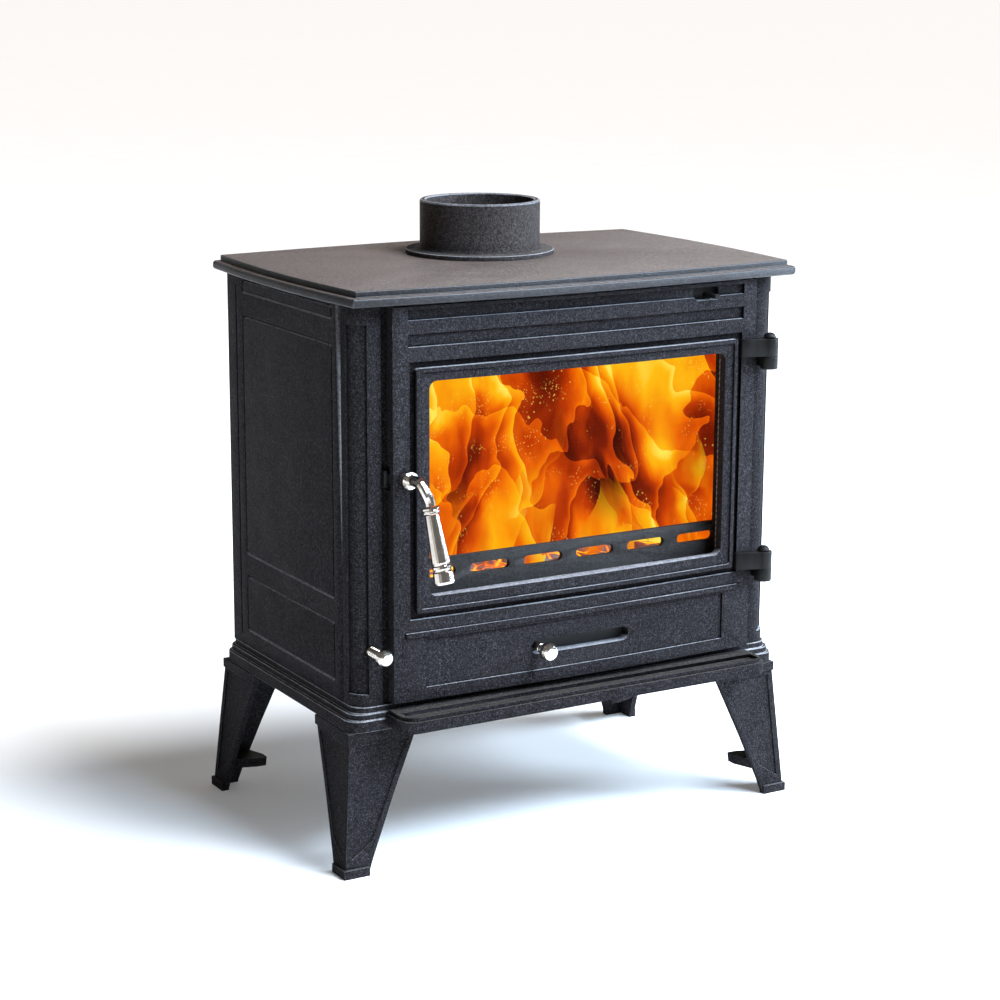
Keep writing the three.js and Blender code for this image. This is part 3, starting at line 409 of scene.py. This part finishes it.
# ---- The palette ----
IRON = srgb(29, 27, 28)
IRON_DUST = srgb(88, 87, 94)
MATERIALS = {
    # Faces that look up are lighter and tan: dust, and painted light from above.
    "cast_iron": cast_iron("cast_iron", IRON, IRON_DUST, upward=(srgb(42, 40, 39), srgb(126, 118, 106))),
    # The top plate's upper faces are painted a light warm grey: painted light and sheen from above.
    "top_iron": cast_iron(
        "top_iron", IRON, IRON_DUST, upward=(srgb(84, 73, 67), srgb(154, 140, 132)), specular=0.3,
    ),
    # Painted highlight: faces that look up, down to steep ledges, are painted pale as if lit from above.
    "ledge_highlight_iron": cast_iron(
        "ledge_highlight_iron", IRON, IRON_DUST, upward=(srgb(112, 112, 116), srgb(176, 174, 173)), up_from=0.3,
    ),
    # A lighter copy of the iron for the flue collar: painted light on its shaded side.
    "collar_painted_light_iron": cast_iron(
        "collar_painted_light_iron", srgb(50, 45, 44), srgb(104, 98, 96), upward=(srgb(60, 56, 54), srgb(130, 122, 114)),
    ),
    "inner_iron": cast_iron(
        "inner_iron", srgb(30, 29, 29), srgb(66, 62, 60), rough=0.7, dust_amount=0.2, specular=0.3,
    ),
    # Painted highlight along the rounded edges, brighter where they look up.
    "iron_edge_highlight": cast_iron(
        "iron_edge_highlight", srgb(64, 64, 69), srgb(120, 120, 126),
        upward=(srgb(118, 117, 119), srgb(172, 170, 170)), up_from=0.2, rough=0.45, grain=0.3, specular=0.2,
    ),
    # The top plate's rounded edges are lighter than bare iron: a faint painted highlight.
    "top_edge_highlight": cast_iron(
        "top_edge_highlight", srgb(44, 43, 45), srgb(84, 84, 90), rough=0.45, grain=0.5, specular=0.4,
    ),
    "black_steel": black_steel(),
    "sheet_steel": sheet_steel(),
    "nickel": nickel(),
    "fire_brick": fire_brick(),
    "glass_fibre": glass_fibre(),
    "stove_glass": stove_glass(),
}

# A node's material is its slot's, apart from these: copies of the iron with painted light.
OWN_LOOK = {
    "flue_collar": "collar_painted_light_iron",
    "door_casting": "ledge_highlight_iron",
    "front_frame": "ledge_highlight_iron",
    "side_panel_left": "ledge_highlight_iron",
    "side_panel_right": "ledge_highlight_iron",
}

# ---- The CAD nodes: materials, rounded casting edges with painted highlights, smooth round faces ----
EDGE_WIDTH = {"cast_iron": 0.0014, "top_iron": 0.0012, "inner_iron": 0.0009, "black_steel": 0.0006}
# The bevel faces take a lighter iron: a painted highlight along the edges.
EDGE_HIGHLIGHT_LOOK = {"cast_iron": "iron_edge_highlight", "top_iron": "top_edge_highlight"}
WELD_DISTANCE = 0.00002
FLAT_ANGLE = math.radians(1.5)
SMOOTH_ANGLE = math.radians(32)
BEVEL_ANGLE = math.radians(35)


def round_edges(o, width):
    """Bevels the sharp edges, once the triangles of each flat face are joined into one face."""
    weld = o.modifiers.new("weld", "WELD")
    weld.merge_threshold = WELD_DISTANCE
    flat = o.modifiers.new("flat", "DECIMATE")
    flat.decimate_type, flat.angle_limit = "DISSOLVE", FLAT_ANGLE
    bevel = o.modifiers.new("edges", "BEVEL")
    bevel.width, bevel.segments = width, 2
    bevel.limit_method, bevel.angle_limit = "ANGLE", BEVEL_ANGLE
    bevel.harden_normals = True
    bevel.use_clamp_overlap = True
    return bevel


for row in frame["record"]["subparts"]:
    o = nodes[row["node"]]
    slot = row["material_slot"]
    o.data.materials.clear()
    o.data.materials.append(MATERIALS[OWN_LOOK.get(row["node"], slot)])
    for p in o.data.polygons:
        p.use_smooth = True
    o.data.set_sharp_from_angle(angle=SMOOTH_ANGLE)
    if slot in EDGE_WIDTH:
        bevel = round_edges(o, EDGE_WIDTH[slot])
        # The bevels take the edge material, a painted highlight.
        if slot in EDGE_HIGHLIGHT_LOOK:
            o.data.materials.append(MATERIALS[EDGE_HIGHLIGHT_LOOK[slot]])
            bevel.material = 1


# ---- The fire: a curved back sheet, flame tongues before it, logs and embers ----
def piece(name, bm, material):
    """A smooth piece of the fire, which stays with the stove's body."""
    mesh = bpy.data.meshes.new(name)
    bm.to_mesh(mesh)
    bm.free()
    for p in mesh.polygons:
        p.use_smooth = True
    mesh.materials.append(material)
    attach(linked(name, mesh), "stove_body")


def grid_sheet(name, material, across, up, at):
    """A sheet of quads, where at(u, v) gives each point for u and v from 0 to 1."""
    bm = bmesh.new()
    rows = [[bm.verts.new(at(i / across, j / up)) for i in range(across + 1)] for j in range(up + 1)]
    for j in range(up):
        for i in range(across):
            bm.faces.new((rows[j][i], rows[j][i + 1], rows[j + 1][i + 1], rows[j + 1][i]))
    piece(name, bm, material)


# The firebox's room, from the frame.
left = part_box("fire_brick_left")[1].x
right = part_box("fire_brick_right")[0].x
grate_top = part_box("grate_frame")[1].z
retainer_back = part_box("log_retainer")[1].y
baffle_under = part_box("baffle_plate")[0].z

MARGIN = 0.004
SHEET_GAP = 0.032
SHEET_BOW = 0.052
SHEET_RIPPLE = 0.010


def back_point(u, v):
    """The back sheet hangs in a shallow arc behind the log retainer, nearest at its ends, and ripples."""
    x = left + MARGIN + (right - left - 2 * MARGIN) * u
    z = grate_top + MARGIN + (baffle_under - grate_top - 2 * MARGIN) * v
    bow = SHEET_BOW * (1 - (2 * u - 1) ** 2)
    ripple = SHEET_RIPPLE * noise.noise(Vector((x * 9, 0.3, z * 6))) * math.sin(math.pi * v) ** 0.5
    return x, retainer_back + SHEET_GAP + bow + ripple, z


# Spots of the back sheet: x, z, radius, amount.
DARK_SPOTS = [
    (0.120, 0.428, 0.040, 0.65),
    (0.112, 0.372, 0.034, 0.5),
    (-0.075, 0.545, 0.028, 0.3),
    (0.212, 0.450, 0.022, 0.25),
    (-0.155, 0.395, 0.026, 0.3),
    (0.165, 0.365, 0.022, 0.25),
]
BRIGHT_SPOTS = [
    (-0.130, 0.450, 0.060, 0.3),
    (-0.135, 0.530, 0.040, 0.25),
    (0.070, 0.480, 0.026, 0.25),
    (0.102, 0.525, 0.028, 0.3),
    (0.185, 0.495, 0.035, 0.3),
    (0.165, 0.415, 0.030, 0.2),
    (0.030, 0.390, 0.030, 0.2),
]
back_fire = fire_sheet("fire_back", 1.7, DARK_SPOTS, BRIGHT_SPOTS, base=0.14, strength=1.1)
grid_sheet("fire_back", back_fire, 60, 40, back_point)

FLAME_FOOT = 0.006


def tongue(name, material, x0, y0, width, height, lean, seed):
    """One flame: a leaf of quads that narrows and curls to its tip."""

    def at(u, v):
        half = width / 2 * math.sin(math.pi * min(v * 0.9 + 0.12, 1.0)) ** 0.8 * (1 - v) ** 0.35
        side = 2 * u - 1
        curl = lean * v + 0.016 * math.sin(v * 6 + seed) * v
        bulge = 0.012 * (1 - side**2) * (1 - v)
        sway = 0.006 * math.sin(v * 5 + seed * 2)
        return x0 + curl + side * half, y0 - bulge + sway, grate_top + FLAME_FOOT + height * v

    grid_sheet(name, material, 10, 28, at)


# Each flame's x, y, width, height, lean and seed, from left to right.
TONGUES = [
    (-0.185, -0.090, 0.075, 0.215, 0.018, 0.4),
    (-0.115, -0.080, 0.085, 0.160, 0.030, 1.9),
    (-0.030, -0.086, 0.080, 0.205, 0.034, 3.1),
    (0.055, -0.078, 0.060, 0.110, 0.030, 4.4),
    (0.115, -0.084, 0.075, 0.175, -0.012, 5.2),
    (0.180, -0.088, 0.080, 0.200, 0.010, 0.9),
]
flame_front = fire_sheet("flame_front", 5.3, base=-0.06, strength=1.05, see_through=True)
for number, values in enumerate(TONGUES, 1):
    tongue(f"flame_{number}", flame_front, *values)

LOG_RINGS = 26
LOG_SIDES = 26
LOG_SAG = 0.006


def split_log(name, material, start, end, radius, seed):
    """An uneven tube with bark ridges and two rough sawn ends. Its ends' heights are over the grate."""
    bm = bmesh.new()
    start, end = (Vector((x, y, grate_top + z)) for x, y, z in (start, end))
    axis = (end - start).normalized()
    side = axis.cross(Vector((0, 0, 1))).normalized()
    up = side.cross(axis)
    rows = []
    for j in range(LOG_RINGS + 1):
        along = j / LOG_RINGS
        middle = start.lerp(end, along) + up * LOG_SAG * math.sin(along * 4 + seed)
        row = []
        for i in range(LOG_SIDES):
            a = 2 * math.pi * i / LOG_SIDES
            out = side * math.cos(a) + up * math.sin(a)
            bark = 1 + 0.16 * noise.noise(Vector((along * 3 + seed, math.cos(a) * 1.6, math.sin(a) * 1.6)))
            bark += 0.06 * noise.noise(Vector((along * 9, a * 3, seed)))
            row.append(bm.verts.new(middle + out * radius * bark))
        rows.append(row)
    for low, high in zip(rows, rows[1:]):
        for i in range(LOG_SIDES):
            k = (i + 1) % LOG_SIDES
            bm.faces.new((low[i], low[k], high[k], high[i]))
    bm.faces.new(rows[0][::-1])
    bm.faces.new(rows[-1])
    bmesh.ops.recalc_face_normals(bm, faces=bm.faces)
    piece(name, bm, material)


# Each log's name, two ends, radius and seed.
LOGS = [
    ("log_back", (-0.165, 0.062, 0.036), (0.170, 0.045, 0.040), 0.026, 1.0),
    ("log_left", (-0.190, 0.000, 0.032), (-0.020, 0.055, 0.068), 0.022, 4.0),
    ("log_right", (0.185, -0.004, 0.032), (0.040, 0.060, 0.074), 0.022, 8.0),
]
wood = charred_wood()
for name, *values in LOGS:
    split_log(name, wood, *values)

EMBERS_HALF_WIDTH = 0.205
EMBERS_FRONT = -0.100
EMBERS_DEPTH = 0.215
EMBERS_RIM = 0.0012


def ember_point(u, v):
    """The embers are a low lumpy heap that thins out to a rim on the grate."""
    x = EMBERS_HALF_WIDTH * (2 * u - 1)
    y = EMBERS_FRONT + EMBERS_DEPTH * v
    heap = math.sin(math.pi * u) ** 0.4 * math.sin(math.pi * v) ** 0.4
    lumps = 0.5 + 0.5 * noise.noise(Vector((x * 60, y * 60, 0.0)))
    return x, y, grate_top + EMBERS_RIM + heap * (0.006 + 0.016 * lumps)


grid_sheet("embers", ember_bed(), 90, 50, ember_point)


# ---- Floor ----
def pale_floor():
    """A matt off-white studio floor that glows faintly, so that it stays pale to its far edge."""
    t = Tree("floor")
    patches = t.remap(t.noise(t.coords(), 6.0, 3.0), 0.3, 0.7)
    return t.surface(
        Base_Color=t.mix(patches, (0.88, 0.865, 0.85, 1), (0.9, 0.885, 0.87, 1)), Roughness=0.9,
        Emission_Color=(1, 1, 1, 1), Emission_Strength=0.1,
    )


FLOOR_HALF_SIZE = 120.0
floor_bm = bmesh.new()
bmesh.ops.create_grid(floor_bm, x_segments=8, y_segments=8, size=FLOOR_HALF_SIZE)
floor_mesh = bpy.data.meshes.new("floor")
floor_bm.to_mesh(floor_mesh)
floor_bm.free()
floor_mesh.materials.append(pale_floor())
floor = linked("floor", floor_mesh)


# ---- Lights ----
def aim(o, direction):
    """Turns a lamp so that it shines in the direction."""
    o.rotation_mode = "QUATERNION"
    o.rotation_quaternion = direction.to_track_quat("-Z", "Y")


def area_light(name, at, target, size, power, colour):
    """A soft rectangular lamp, size (wide, high), that the camera does not see."""
    data = bpy.data.lights.new(name, "AREA")
    data.shape, data.energy, data.color = "RECTANGLE", power, colour
    data.size, data.size_y = size
    o = linked(name, data)
    o.location = at
    aim(o, Vector(target) - Vector(at))
    o.visible_camera = False


CENTRE = (0.0, 0.0, 0.4)
TOP_CENTRE = (0.0, 0.0, 0.64)
area_light("right_cool", (2.5, -1.1, 1.3), CENTRE, (1.4, 1.2), 200.0, (0.64, 0.81, 1.0))
area_light("front_high", (1.1, -2.5, 2.9), CENTRE, (2.0, 1.2), 270.0, (0.63, 0.80, 1.0))
area_light("back_sheen", (1.9, 3.4, 0.95), TOP_CENTRE, (5.0, 1.5), 29.0, (1.0, 0.95, 0.92))

SUN_DIRECTION = Vector((-0.36, 0.34, -0.87))
sun = bpy.data.lights.new("sun", "SUN")
sun.energy, sun.angle, sun.color = 3.2, math.radians(24), (1.0, 0.99, 0.98)
aim(linked("sun", sun), SUN_DIRECTION)

# ---- World: dim where it lights the stove, pale where the camera sees it ----
LIGHTING_LEVEL = 0.15
SEEN_LEVEL = 1.0
world = bpy.data.worlds.new("studio")
world.use_nodes = True
background = world.node_tree.nodes["Background"]
background.inputs["Color"].default_value = (1, 0.95, 0.9, 1)
ray = world.node_tree.nodes.new("ShaderNodeLightPath")
level = world.node_tree.nodes.new("ShaderNodeMapRange")
level.inputs["To Min"].default_value = LIGHTING_LEVEL
level.inputs["To Max"].default_value = SEEN_LEVEL
world.node_tree.links.new(ray.outputs["Is Camera Ray"], level.inputs["Value"])
world.node_tree.links.new(level.outputs[0], background.inputs["Strength"])
bpy.context.scene.world = world
bpy.context.scene.view_settings.view_transform = "Standard"
